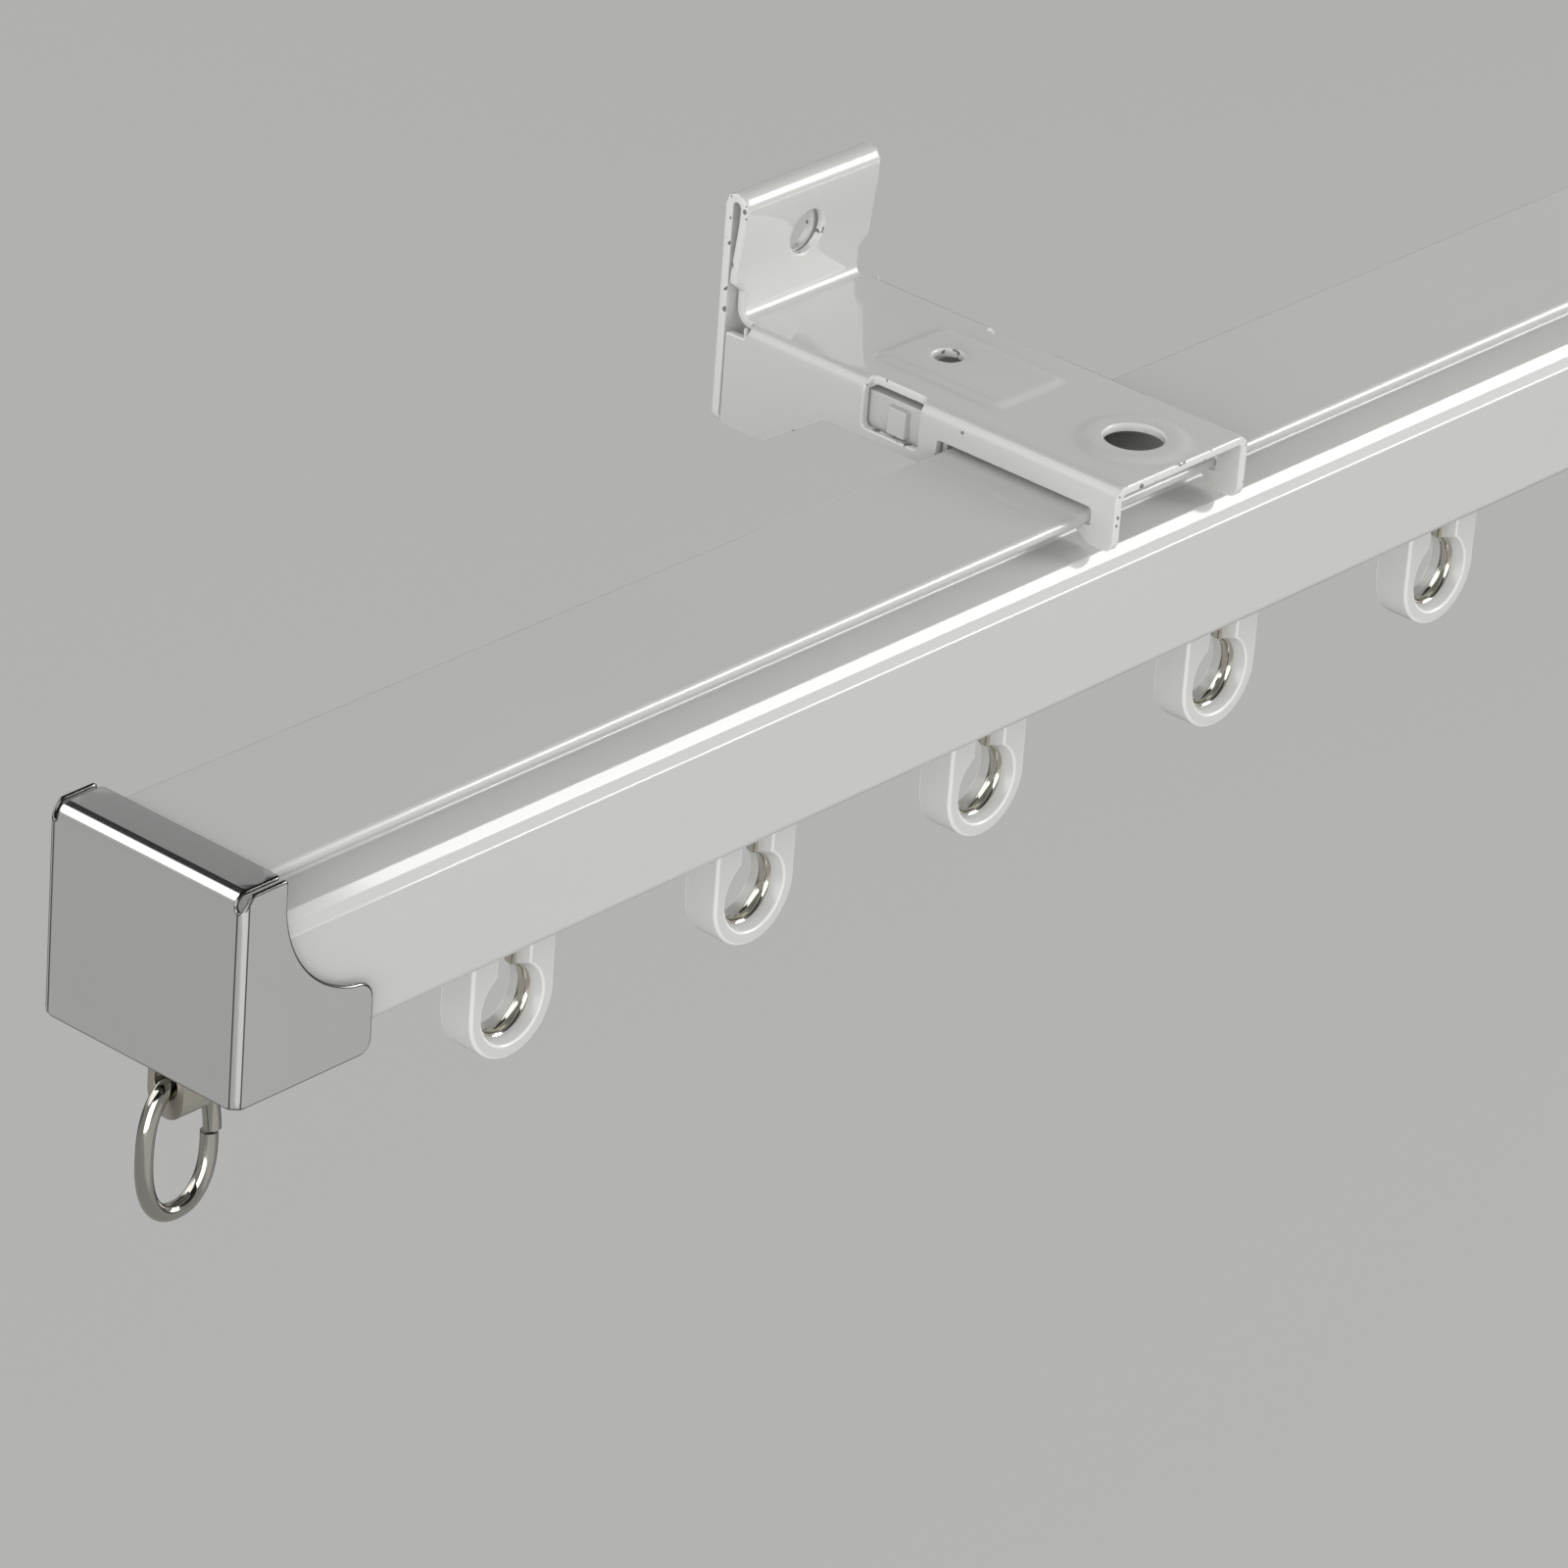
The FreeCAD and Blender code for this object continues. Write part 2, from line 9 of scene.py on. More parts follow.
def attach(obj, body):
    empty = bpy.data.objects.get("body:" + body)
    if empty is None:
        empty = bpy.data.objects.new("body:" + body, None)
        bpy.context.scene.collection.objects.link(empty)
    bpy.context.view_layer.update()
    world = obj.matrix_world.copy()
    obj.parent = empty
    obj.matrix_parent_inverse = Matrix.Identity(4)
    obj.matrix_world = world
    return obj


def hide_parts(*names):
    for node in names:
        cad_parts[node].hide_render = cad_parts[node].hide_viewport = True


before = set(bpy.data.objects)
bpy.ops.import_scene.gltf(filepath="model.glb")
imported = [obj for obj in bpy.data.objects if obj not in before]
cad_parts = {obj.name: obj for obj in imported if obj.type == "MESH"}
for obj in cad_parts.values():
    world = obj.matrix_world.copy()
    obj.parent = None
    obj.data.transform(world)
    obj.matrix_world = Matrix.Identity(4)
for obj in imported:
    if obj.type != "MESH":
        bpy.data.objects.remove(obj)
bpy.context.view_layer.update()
scene = bpy.context.scene
scene.view_settings.view_transform = "Standard"


# The studio: a pale floor far below the track, a tall soft lamp ahead on the right, broad fills from the
# left and from behind, and even light from the room. In mirrors, the room has a dark ceiling with one
# bright panel, and the floor carries a painted reflection: brighter in front of the track, darker behind
# it.
class Tap:
    """An output of a shader node that can be used in sums: each operator adds one Math node."""

    def __init__(self, tree, out=None):
        self.tree, self.out = tree, out

    def node(self, kind, settings=None, inputs=None, pick=0):
        """Adds a node of that kind, sets it up, then gives its sockets their values or links."""
        made = self.tree.nodes.new("ShaderNode" + kind)
        for key, value in (settings or {}).items():
            if key == "stops":
                while len(made.color_ramp.elements) < len(value):
                    made.color_ramp.elements.new(0.5)
                for stop, (where, tone) in zip(made.color_ramp.elements, value):
                    stop.position, stop.color = where, (tone, tone, tone, 1)
            else:
                setattr(made, key, value)
        for key, value in (inputs or {}).items():
            if isinstance(value, Tap):
                self.tree.links.new(value.out, made.inputs[key])
            else:
                made.inputs[key].default_value = value
        return Tap(self.tree, made.outputs[pick])

    def math(self, operation, first, second):
        return self.node("Math", {"operation": operation}, {0: first, 1: second})

    def __add__(self, other):
        return self.math("ADD", self, other)

    def __sub__(self, other):
        return self.math("SUBTRACT", self, other)

    def __rsub__(self, other):
        return self.math("SUBTRACT", other, self)

    def __mul__(self, other):
        return self.math("MULTIPLY", self, other)

    __radd__, __rmul__ = __add__, __mul__

    def __abs__(self):
        return self.math("ABSOLUTE", self, 0.0)

    def rise(self, low, high):
        """0 below low, 1 above high, and a smooth step between them."""
        return self.node("MapRange", {"interpolation_type": "SMOOTHSTEP"},
                         {"Value": self, "From Min": low, "From Max": high})

    def noise(self, scale, detail=2.0, stretch=(1, 1, 1)):
        """Cloudy noise, scale cells to the metre, squeezed along each axis by stretch."""
        spot = self.node("Mapping", None, {"Vector": self, "Scale": stretch})
        return self.node("TexNoise", None, {"Vector": spot, "Scale": scale, "Detail": detail})

    def tint(self, first, second):
        """The first colour at 0 and the second at 1."""
        return self.node("Mix", {"data_type": "RGBA"}, {"Factor": self, 6: first, 7: second}, pick=2)


def finish(name, constants, surface):
    """A Principled finish: constants go on its sockets, and surface(tap) gives what varies over it."""
    made = bpy.data.materials.new(name)
    made.use_nodes = True
    shader = made.node_tree.nodes["Principled BSDF"]
    for socket, value in constants.items():
        shader.inputs[socket].default_value = value
    for socket, tap in surface(Tap(made.node_tree)).items():
        made.node_tree.links.new(tap.out, shader.inputs[socket])
    return made


def soft_lamp(name, direction, up, distance, width, height, radiance):
    """A lamp that faces the track from that direction, its height along up."""
    aim = Vector((-0.06, -0.04, -0.02))
    data = bpy.data.lights.new(name, "AREA")
    data.shape = "RECTANGLE"
    data.size, data.size_y = width, height
    data.energy = radiance * math.pi * width * height
    lamp = bpy.data.objects.new(name, data)
    scene.collection.objects.link(lamp)
    away = Vector(direction).normalized()
    across = Vector(up).cross(away).normalized()
    lamp.matrix_world = Matrix((across, away.cross(across), away)).transposed().to_4x4()
    lamp.location = aim + away * distance


soft_lamp("key", (0.735, -0.57, 0.37), (0, 0.54, 0.84), distance=1.3, width=0.5, height=0.75, radiance=9.0)
soft_lamp("fill", (-0.92, -0.38, 0.10), (0, 0, 1), distance=1.8, width=1.6, height=1.6, radiance=3.2)
soft_lamp("back", (-0.1, 0.95, 0.3), (0, 0, 1), distance=1.8, width=1.2, height=1.2, radiance=1.3)

world = bpy.data.worlds.new("studio")
world.use_nodes = True
scene.world = world
air = Tap(world.node_tree)
aim = air.node("TexCoord", pick="Generated")
height = air.node("SeparateXYZ", None, {0: aim}, pick="Z")
wall_tones = ((0.0, 0.5), (0.5, 0.48), (0.70, 0.40), (0.745, 0.36), (0.765, 0.03), (1.0, 0.03))
walls = air.node("ValToRGB", {"stops": wall_tones}, {"Fac": height * 0.5 + 0.5})
panel_way, panel_edge, panel_glow = (-0.46, 0.57, 0.68), (0.87, 0.885), (2.4, 2.4, 2.4, 1)
panel = air.node("VectorMath", {"operation": "DOT_PRODUCT"}, {0: aim, 1: panel_way}, pick="Value")
mirror = panel.rise(*panel_edge).tint(walls, panel_glow)
soft_light, far_grey = (0.43, 0.43, 0.425, 1), (0.397, 0.397, 0.392, 1)
room = air.node("LightPath", pick="Is Glossy Ray").tint(soft_light, mirror)
backdrop = air.node("LightPath", pick="Is Camera Ray").tint(room, far_grey)
world.node_tree.links.new(backdrop.out, world.node_tree.nodes["Background"].inputs["Color"])

reach, ground = 5.0, -0.34
floor_mesh = bpy.data.meshes.new("floor")
floor_mesh.from_pydata([(-reach, -reach, ground), (reach, -reach, ground), (reach, reach, ground),
                        (-reach, reach, ground)], [], [(0, 1, 2, 3)])
floor = bpy.data.objects.new("floor", floor_mesh)
scene.collection.objects.link(floor)


def floor_tones(tap):
    """Even grey with a glow of its own. In mirrors only, a painted reflection: dark behind the track and
    bright in front of it.
    """
    place = tap.node("TexCoord", pick="Object")
    mirrored_in = tap.node("LightPath", pick="Is Glossy Ray")
    away = (0.8, 0.6, 0.0)
    behind = tap.node("VectorMath", {"operation": "DOT_PRODUCT"}, {0: place, 1: away}, pick="Value")
    across, depth = [tap.node("SeparateXYZ", None, {0: place}, pick=axis) for axis in "XY"]
    # Painted reflection: only in mirrors does the floor go dark behind the track and glow brighter in front
    # of it.
    dark = mirrored_in * behind.rise(0.04, 0.28)
    painted_mirror_glow = mirrored_in * (0 - depth).rise(0.38, 0.5) * (1 - across.rise(0.08, 0.2))
    grey = place.noise(3.0).tint((0.17, 0.17, 0.168, 1), (0.18, 0.18, 0.178, 1))
    glow = painted_mirror_glow.tint((0.298, 0.298, 0.295, 1), (0.6, 0.6, 0.59, 1))
    shade = (0.085, 0.085, 0.085, 1)
    return {"Base Color": dark.tint(grey, shade), "Emission Color": dark.tint(glow, shade)}


matt = {"Roughness": 0.9, "Specular IOR Level": 0.1, "Emission Strength": 1.0}
floor_mesh.materials.append(finish("floor_grey", matt, floor_tones))

# The camera: a long lens, above and to the left, at the photograph's angle.
lens = bpy.data.cameras.new("camera")
lens.sensor_width = 36.0
lens.lens = 202.81
lens.clip_start, lens.clip_end = 0.05, 50.0
camera = bpy.data.objects.new("camera", lens)
scene.collection.objects.link(camera)
turn = Vector((1.9379, -0.8150, 0.5838))
across, down, ahead = Matrix.Rotation(turn.length, 3, turn)
camera.matrix_world = Matrix((across, -down, -ahead)).transposed().to_4x4()
camera.location = (-0.7084, -0.5322, 0.3639)
scene.camera = camera


# Rail: a steel strip, roll-formed to a flat top with a hemmed lip on each side, a neck, faceted
# shoulders, walls, and two narrow wheel tracks with a slot between them. Enamelled off-white.
mm = 0.001
rail_mid, rail_top = -40.4, -10.8
rail_half_length = 208.9


def rounded_loop(corners, arc=6):
    """Closed outline from corners (u, v, radius): a corner with a radius becomes a tangent arc."""
    corners = np.array(corners, float)
    here, radius = corners[:, :2], corners[:, 2]
    before, after = np.roll(here, 1, 0) - here, np.roll(here, -1, 0) - here
    before /= np.linalg.norm(before, axis=1)[:, None]
    after /= np.linalg.norm(after, axis=1)[:, None]
    half = np.arccos(np.clip((before * after).sum(1), -1 + 1e-9, 1)) / 2
    cut = (radius / np.tan(half))[:, None]
    inward = (before + after) / np.linalg.norm(before + after, axis=1)[:, None]
    centre = here + inward * (radius / np.sin(half))[:, None]
    sweep = (np.pi - 2 * half)[:, None]
    share = np.linspace(0, 1, arc + 1)[None, :]
    first = (np.sin((1 - share) * sweep) / np.sin(sweep))[..., None]
    second = (np.sin(share * sweep) / np.sin(sweep))[..., None]
    start, end = here + before * cut - centre, here + after * cut - centre
    points = centre[:, None] + start[:, None] * first + end[:, None] * second
    points[radius == 0] = here[radius == 0][:, None]
    keep = (radius > 0)[:, None] | (np.arange(arc + 1) == 0)[None, :]
    return points[keep]


def divided(loop, step):
    """The loop with points added, so that no side is longer than step."""
    side = np.roll(loop, -1, 0) - loop
    count = np.maximum(1, np.ceil(np.linalg.norm(side, axis=1) / step)).astype(int)
    index = np.repeat(np.arange(len(loop)), count)
    share = (np.arange(len(index)) - np.repeat(np.cumsum(count) - count, count)) / count[index]
    return loop[index] + side[index] * share[:, None]


def turned_left(loop, hole):
    """The loop run so that its solid side is on the left: an outline one way, a hole the other."""
    u, v = loop[:, 0], loop[:, 1]
    area = (u * np.roll(v, -1) - v * np.roll(u, -1)).sum()
    return loop[::-1] if (area < 0) != hole else loop


def inset(loop, distance):
    """Each point moved to the left of the loop along the mitre of its two sides."""
    ahead = np.roll(loop, -1, 0) - loop
    ahead /= np.linalg.norm(ahead, axis=1)[:, None]
    left = np.stack([-ahead[:, 1], ahead[:, 0]], 1)
    behind = np.roll(left, 1, 0)
    return loop + distance * (left + behind) / (1 + (left * behind).sum(1))[:, None]


def inside(points, loops):
    """Which points lie in the solid: a ray to the right crosses the loops an odd number of times."""
    u, v = points[:, :1], points[:, 1:]
    crossings = 0
    for loop in loops:
        after = np.roll(loop, -1, 0)
        spans = (loop[:, 1] > v) != (after[:, 1] > v)
        climb = np.where(after[:, 1] == loop[:, 1], 1, after[:, 1] - loop[:, 1])
        slope = (after[:, 0] - loop[:, 0]) / climb
        crossings = crossings + (spans & (u < loop[:, 0] + slope * (v - loop[:, 1]))).sum(1)
    return crossings % 2 == 1


def crossings_of(u, v):
    """The points where the lines at u and at v cross, for the grid of a sheet."""
    return np.stack(np.meshgrid(u, v), -1).reshape(-1, 2)


def round_rim(run, depth, steps=4, side=1.0):
    """Rim of a plate as a quarter ellipse, from the side to the face: rows of (inset, drop below the face,
    mark), the mark being 1 on the round and as given on the straight side."""
    angle = np.linspace(0, np.pi / 2, steps)
    mark = np.where(np.arange(steps) == 0, side, 1.0)
    return np.column_stack([run * (1 - np.cos(angle)), depth * (1 - np.sin(angle)), mark])


def sheet(loops, rims, thick, fold, grid=None):
    """A plate from flat loops, the outline first and then its holes, each with its rim above and below.
    The faces between are filled with triangles through the grid's points; fold(u, v, w) places the flat
    plate, w being the height off its middle."""
    clear_of_rim, sliver = 0.12, 1e-5
    loops = [turned_left(loop, number > 0) for number, loop in enumerate(loops)]
    inner = [inset(loop, rim[-1, 0]) for loop, rim in zip(loops, rims)]
    flat = np.concatenate(inner)
    starts = np.cumsum([0] + [len(loop) for loop in inner])
    if grid is not None:
        gap = np.sqrt(((grid[:, None] - flat[None]) ** 2).sum(2).min(1))
        spare = grid[inside(grid, inner) & (gap > clear_of_rim)]
        flat = np.concatenate([flat, spare])
    ties = [(a + k, a + (k + 1) % len(loop)) for a, loop in zip(starts, inner) for k in range(len(loop))]
    found = geometry.delaunay_2d_cdt([Vector(p) for p in flat.tolist()], ties, [], 0, 1e-6)
    flat_out = np.array([tuple(p) for p in found[0]])
    place = np.zeros(len(flat), int)
    place[np.concatenate([np.array(o, int) for o in found[3]])] = np.repeat(
        np.arange(len(found[3])), [len(o) for o in found[3]])
    corners = np.array(found[2])
    ring = flat_out[corners]
    side = np.roll(ring, -1, 1) - ring
    double_area = np.abs(side[:, 0, 0] * side[:, 1, 1] - side[:, 0, 1] * side[:, 1, 0])
    broad = double_area > sliver * (side ** 2).sum(2).max(1)
    corners = corners[broad & inside(ring.mean(1), inner)]
    count = len(flat_out)
    points = [np.column_stack([flat_out, np.full(count, thick / 2)]),
              np.column_stack([flat_out, np.full(count, -thick / 2)])]
    marks = [np.zeros(2 * count)]
    faces = corners.tolist() + (corners[:, ::-1] + count).tolist()
    total = 2 * count
    for loop, rim, a in zip(loops, rims, starts):
        size = len(loop)
        own = place[a:a + size]
        rows = [own]
        upper = [(run, thick / 2 - drop, mark) for run, drop, mark in rim[-2::-1]]
        for run, level, mark in upper + [(run, -level, mark) for run, level, mark in reversed(upper)]:
            points.append(np.column_stack([inset(loop, run), np.full(size, level)]))
            marks.append(np.full(size, mark))
            rows.append(total + np.arange(size))
            total += size
        rows = np.array(rows + [own + count])
        after = np.roll(rows, -1, 1)
        quads = np.stack([rows[:-1], rows[1:], after[1:], after[:-1]], 2).reshape(-1, 4)
        faces += quads.tolist()
    points = np.concatenate(points)
    return fold(points[:, 0], points[:, 1], points[:, 2]), faces, np.concatenate(marks)


def joined(*shapes):
    """Several shells as one mesh."""
    points, faces, rim, total = [], [], [], 0
    for shape in shapes:
        points.append(shape[0])
        faces += [[k + total for k in face] for face in shape[1]]
        rim.append(shape[2])
        total += len(shape[0])
    return np.concatenate(points), faces, np.concatenate(rim)


def mirrored(shape):
    """The same shape at the other end of the track."""
    return shape[0] * (-1, 1, 1), shape[1], shape[2]


def piece(name, shape, look, body, slot, *stands_for):
    """Makes the mesh in metres, with poles merged and faces outwards, and puts it on its body."""
    points, faces, rim = shape
    crease = math.radians(38)
    mesh = bpy.data.meshes.new(name)
    mesh.from_pydata((points * mm).tolist(), [], faces)
    mark = mesh.attributes.new("rim", "FLOAT", "POINT")
    mark.data.foreach_set("value", rim.astype(np.float32))
    work = bmesh.new()
    work.from_mesh(mesh)
    bmesh.ops.remove_doubles(work, verts=work.verts, dist=1e-7)
    bmesh.ops.recalc_face_normals(work, faces=work.faces)
    work.to_mesh(mesh)
    work.free()
    mesh.polygons.foreach_set("use_smooth", np.ones(len(mesh.polygons), bool))
    mesh.set_sharp_from_angle(angle=crease)
    made = bpy.data.objects.new(name, mesh)
    scene.collection.objects.link(made)
    mesh.materials.append(look)
    weighted = made.modifiers.new("flat faces", "WEIGHTED_NORMAL")
    weighted.keep_sharp = True
    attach(made, body)
    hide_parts(*stands_for)


def enamel(name, colour, chips):
    """Stoved enamel: faint clouding, fine orange peel, roll marks along the length, a few dark specks
    of dust under the coat, rims painted paler as a painted highlight along the edges, and small chips along
    the rims."""
    def surface(tap):
        place = tap.node("TexCoord", pick="Object")
        cloud = place.noise(28.0, 3.0)
        peel = place.noise(1100.0, 2.0)
        roll = place.noise(1.0, 2.0, (5, 700, 700))
        dot = place.node("TexVoronoi", None, {"Vector": place, "Scale": 105.0}, pick="Distance")
        dust = (1 - dot.rise(0.014, 0.028)) * place.noise(40.0).rise(0.55, 0.60)
        rim = tap.node("Attribute", {"attribute_name": "rim"}, pick="Fac")
        chip = rim.rise(0.5, 0.9) * place.noise(900.0, 1.0).rise(1 - chips, 1.02 - chips)
        dark = [c * 0.965 for c in colour]
        # The rim colour is paler than the coat: a painted highlight along the edges.
        painted_rim_highlight, bare = (0.74, 0.745, 0.725, 1), (0.07, 0.065, 0.055, 1)
        coat = rim.tint((cloud * 0.7 + roll * 0.3).tint((*dark, 1), (*colour, 1)), painted_rim_highlight)
        mark = tap.math("MAXIMUM", dust * 0.8, chip * 0.85)
        return {
            "Base Color": mark.tint(coat, bare),
            "Roughness": 0.42 + cloud * 0.08 + roll * 0.05 + mark * 0.3,
            "Normal": tap.node("Bump", None, {"Strength": 0.05, "Distance": 0.0002,
                                              "Height": peel * 0.6 + roll * 0.25 - mark * 0.6}),
        }
    return finish(name, {"Coat Weight": 0.8, "Coat Roughness": 0.05}, surface)


lip, hem, neck, wall, strip = 9.5, 0.65, 6.8, 11.6, 0.6
deep, slot_half, under_neck, in_hem = 19.2, 3.0, -4.8, -0.7
hem_round = hem - 0.01
rail_half_section = [
    (lip, 0, hem_round), (lip, -2 * hem, hem_round), (neck, -2 * hem, 0.4), (neck, -3.45, 0.4),
    (wall - 1.28, -4.3, 0.3), (wall - 0.48, -5.15, 0.3), (wall - 0.09, -6.2, 0.3), (wall, -6.36, 0.06),
    (wall, -deep, 1.0), (slot_half, -deep, 0.2),
    (slot_half, strip - deep, 0.2), (wall - strip, strip - deep, 0.4), (wall - strip, under_neck, 1.2),
    (neck - strip, under_neck, 1.0), (neck - strip, in_hem, 1.0),
    (lip - strip, in_hem, 0.045), (lip - strip, -strip, 0.045),
]
section = rail_half_section + [(-y, z, r) for y, z, r in reversed(rail_half_section)]
rail_loop = rounded_loop(section, 8) + (rail_mid, rail_top)
rail_paint = enamel("rail_enamel", (0.60, 0.605, 0.585), 0.0)
piece("rail_strip", sheet([rail_loop], [round_rim(0.04, 0.04, 2, 0.0)], 2 * rail_half_length,
                          lambda u, v, w: np.column_stack([w, u, v])),
      rail_paint, "track", "rail_paint", "rail")


# End caps: one piece of plated sheet each, folded to a face, a top flap and two side flaps with a round
# cut-out, sprung over the end of the rail. The corner between the flaps is open, with a small notch.
cap_end, cap_half, cap_top, cap_foot = -210.0, 12.5, -10.25, -32.3
cap_sheet, side_bend, top_bend = 0.5, 0.75, 1.3
cap_flat, cap_top_fold = cap_half - side_bend, cap_top - top_bend
corner_cut, flap_deep = 11.65, 5.75
side_run, top_run = [(bend - cap_sheet / 2) * np.pi / 2 for bend in (side_bend, top_bend)]


def cap_fold(p, q, w):
    """Face in the plane of the rail's end. Past the fold lines, the sheet turns through a quarter circle
    and runs on along the rail: sideways beyond cap_flat, upwards beyond cap_top_fold."""
    on_top = (q > cap_top_fold) & (np.abs(p) < corner_cut)
    radius = np.where(on_top, top_bend, side_bend)
    past = np.where(on_top, q - cap_top_fold, np.clip(np.abs(p) - cap_flat, 0, None))
    bend = np.clip(past / (radius - cap_sheet / 2), 0, np.pi / 2)
    run = np.clip(past - (radius - cap_sheet / 2) * np.pi / 2, 0, None)
    out = (radius - cap_sheet / 2 + w) * np.sin(bend)
    x = cap_end + radius - (radius - cap_sheet / 2 + w) * np.cos(bend) + run
    y = np.where(on_top, p, np.sign(p) * (np.minimum(np.abs(p), cap_flat) + out))
    z = np.where(on_top, cap_top_fold + out, q)
    return np.column_stack([x, rail_mid + y, z])


flap_start = cap_flat + side_run - side_bend
flap_edge, flap_tip, cutout, cutout_level = flap_start + flap_deep, flap_start + 17.6, 12.1, -12.65
sweep = np.radians(np.linspace(257, 180, 24))
round_cut = [(flap_edge + cutout + cutout * math.cos(a), cutout_level + cutout * math.sin(a), 0)
             for a in sweep]
half_cap = [
    (cap_flat - 0.4, cap_foot, 0), (cap_flat + 0.4, cap_foot + 0.2, 0.3), (cap_flat + 1.2, cap_foot, 0),
    (flap_tip, cap_foot, 1.4), (flap_tip, -24.7, 2.2), *round_cut,
    (flap_edge, cap_top, 0.5), (13.0, cap_top - 0.05, 0.5), (12.1, -11.6, 0.35), (11.75, -12.05, 0.14),
    (11.5, -11.65, 0.3), (11.5, cap_top_fold + top_run + flap_deep - top_bend, 0.5)]
cap_loop = divided(rounded_loop(half_cap + [(-p, q, r) for p, q, r in reversed(half_cap)]), 0.4)
lines = np.linspace(-0.05, 1.05, 11)
side_lines = np.concatenate([cap_flat + side_run * lines, -cap_flat - side_run * lines])
cap_grid = np.concatenate([crossings_of(side_lines, np.arange(-32, -11, 0.8)),
                           crossings_of(np.arange(-10.8, 10.9, 0.8), cap_top_fold + top_run * lines)])


def satin(name, colour, rough, grain, stretch, painted_line_tone=1.0, painted_shade_lines=None):
    """Plated metal: fine brushing along one way, faint clouding, and rims and fold lines set to a given
    tone of the colour; on the caps that tone is dark, giving painted dark reflection lines along rims and
    folds.
    """
    def surface(tap):
        place = tap.node("TexCoord", pick="Object")
        brush = place.noise(1.0, 3.0, stretch)
        cloud = place.noise(45.0, 3.0)
        rim = tap.node("Attribute", {"attribute_name": "rim"}, pick="Fac")
        plate = (cloud * 0.5 + brush * 0.5).tint((*[c * 0.93 for c in colour], 1), (*colour, 1))
        # On the caps, the rims and fold lines are painted dark: painted reflection lines.
        painted_line_mask = painted_shade_lines(place) if painted_shade_lines else rim
        mark = tap.math("MAXIMUM", rim, painted_line_mask)
        return {
            "Base Color": mark.tint(plate, (*[c * painted_line_tone for c in colour], 1)),
            "Roughness": rough + cloud * 0.06 + brush * grain,
            "Normal": tap.node("Bump", None, {"Strength": 0.03, "Distance": 0.0001, "Height": brush}),
        }
    return finish(name, {"Metallic": 1.0}, surface)


def painted_fold_shade(place):
    """Painted dark lines, standing for dark reflections, where the side folds start and end, and behind the
    top fold.
    """
    along, aside, level = [place.node("SeparateXYZ", None, {0: place}, pick=axis) for axis in "XYZ"]
    past = abs(along) + cap_end * mm
    on_face = abs(abs(aside - rail_mid * mm) - cap_flat * mm)
    on_side = abs(past + side_bend * mm)
    on_top = abs(past + top_bend * mm) + (1 - level.rise((cap_top - 0.4) * mm, (cap_top - 0.2) * mm))
    near = past.math("MINIMUM", past.math("MINIMUM", on_side, on_top), on_face)
    return 1 - near.rise(0.05 * mm, 0.15 * mm)


# The caps' rims and fold lines take a fifth of the plate's colour: painted dark reflection lines.
cap_plate = satin("satin_chrome", (0.76, 0.76, 0.75), 0.12, 0.05, (900, 900, 14), 0.20, painted_fold_shade)
cap_shape = sheet([cap_loop], [round_rim(0.3, 0.25, 5)], cap_sheet, cap_fold, cap_grid)
piece("left_cap", cap_shape, cap_plate, "track", "cap_plate", "left_end_cap")
piece("right_cap", mirrored(cap_shape), cap_plate, "track", "cap_plate", "right_end_cap")


# End stops: cast blocks clamped in the rail's ends by a slotted grub screw from below, each with a lug
# through the slot that carries a ring in its eye. Plated, a little warmer than the caps.
def softened(node, width, segments=3):
    """A copy of a solid's mesh, merged, with its sharp edges rounded over by up to that width: by less
    where short edges leave less room."""
    work = bmesh.new()
    work.from_mesh(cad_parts[node].data)
    bmesh.ops.remove_doubles(work, verts=work.verts, dist=1e-7)
    bmesh.ops.dissolve_limit(work, angle_limit=math.radians(1), verts=work.verts, edges=work.edges)
    sharp = [e for e in work.edges if len(e.link_faces) == 2 and e.calc_face_angle() > math.radians(40)]
    bmesh.ops.bevel(work, geom=sharp, offset=width * mm, segments=segments, profile=0.5,
                    affect="EDGES", clamp_overlap=True)
    bmesh.ops.triangulate(work, faces=[f for f in work.faces if len(f.verts) > 4])
    points = np.array([v.co for v in work.verts]) / mm
    faces = [[v.index for v in f.verts] for f in work.faces]
    work.free()
    return points, faces, np.zeros(len(points))


casting = satin("plated_casting", (0.50, 0.475, 0.42), 0.28, 0.06, (500, 500, 500))
screw_steel = satin("screw_steel", (0.60, 0.59, 0.57), 0.28, 0.06, (700, 700, 700))
for side in ("left", "right"):
    stop, screw = side + "_end_stop", side + "_stop_screw"
    piece(side + "_stop", softened(stop, 0.4), casting, "track", "stop_casting", stop)
    piece(side + "_grub_screw", softened(screw, 0.12, 2), screw_steel, "track", "screw_steel", screw)


# Rings: a link bent from nickelled wire, hanging in the lug's eye in line with the rail, its two cut
# ends butted on the inner long side.
def tube(path, radius, normal, steps=28):
    """A round wire: circles of that radius across a path, closed by a flat disc at both ends."""
    ahead = np.gradient(path, axis=0)
    ahead /= np.linalg.norm(ahead, axis=1)[:, None]
    across = np.cross(ahead, normal)
    angle = np.linspace(0, 2 * np.pi, steps, endpoint=False)
    ring = across[:, None] * np.cos(angle)[None, :, None] + np.array(normal) * np.sin(angle)[None, :, None]
    points = path[:, None] + ring * radius[:, None, None]
    rows = np.arange(len(path) * steps).reshape(len(path), steps)
    after = np.roll(rows, -1, 1)
    quads = np.stack([rows[:-1], rows[1:], after[1:], after[:-1]], 2).reshape(-1, 4)
    ends = [rows[0][::-1].tolist(), rows[-1].tolist()]
    return points.reshape(-1, 3), quads.tolist() + ends, np.zeros(len(path) * steps)


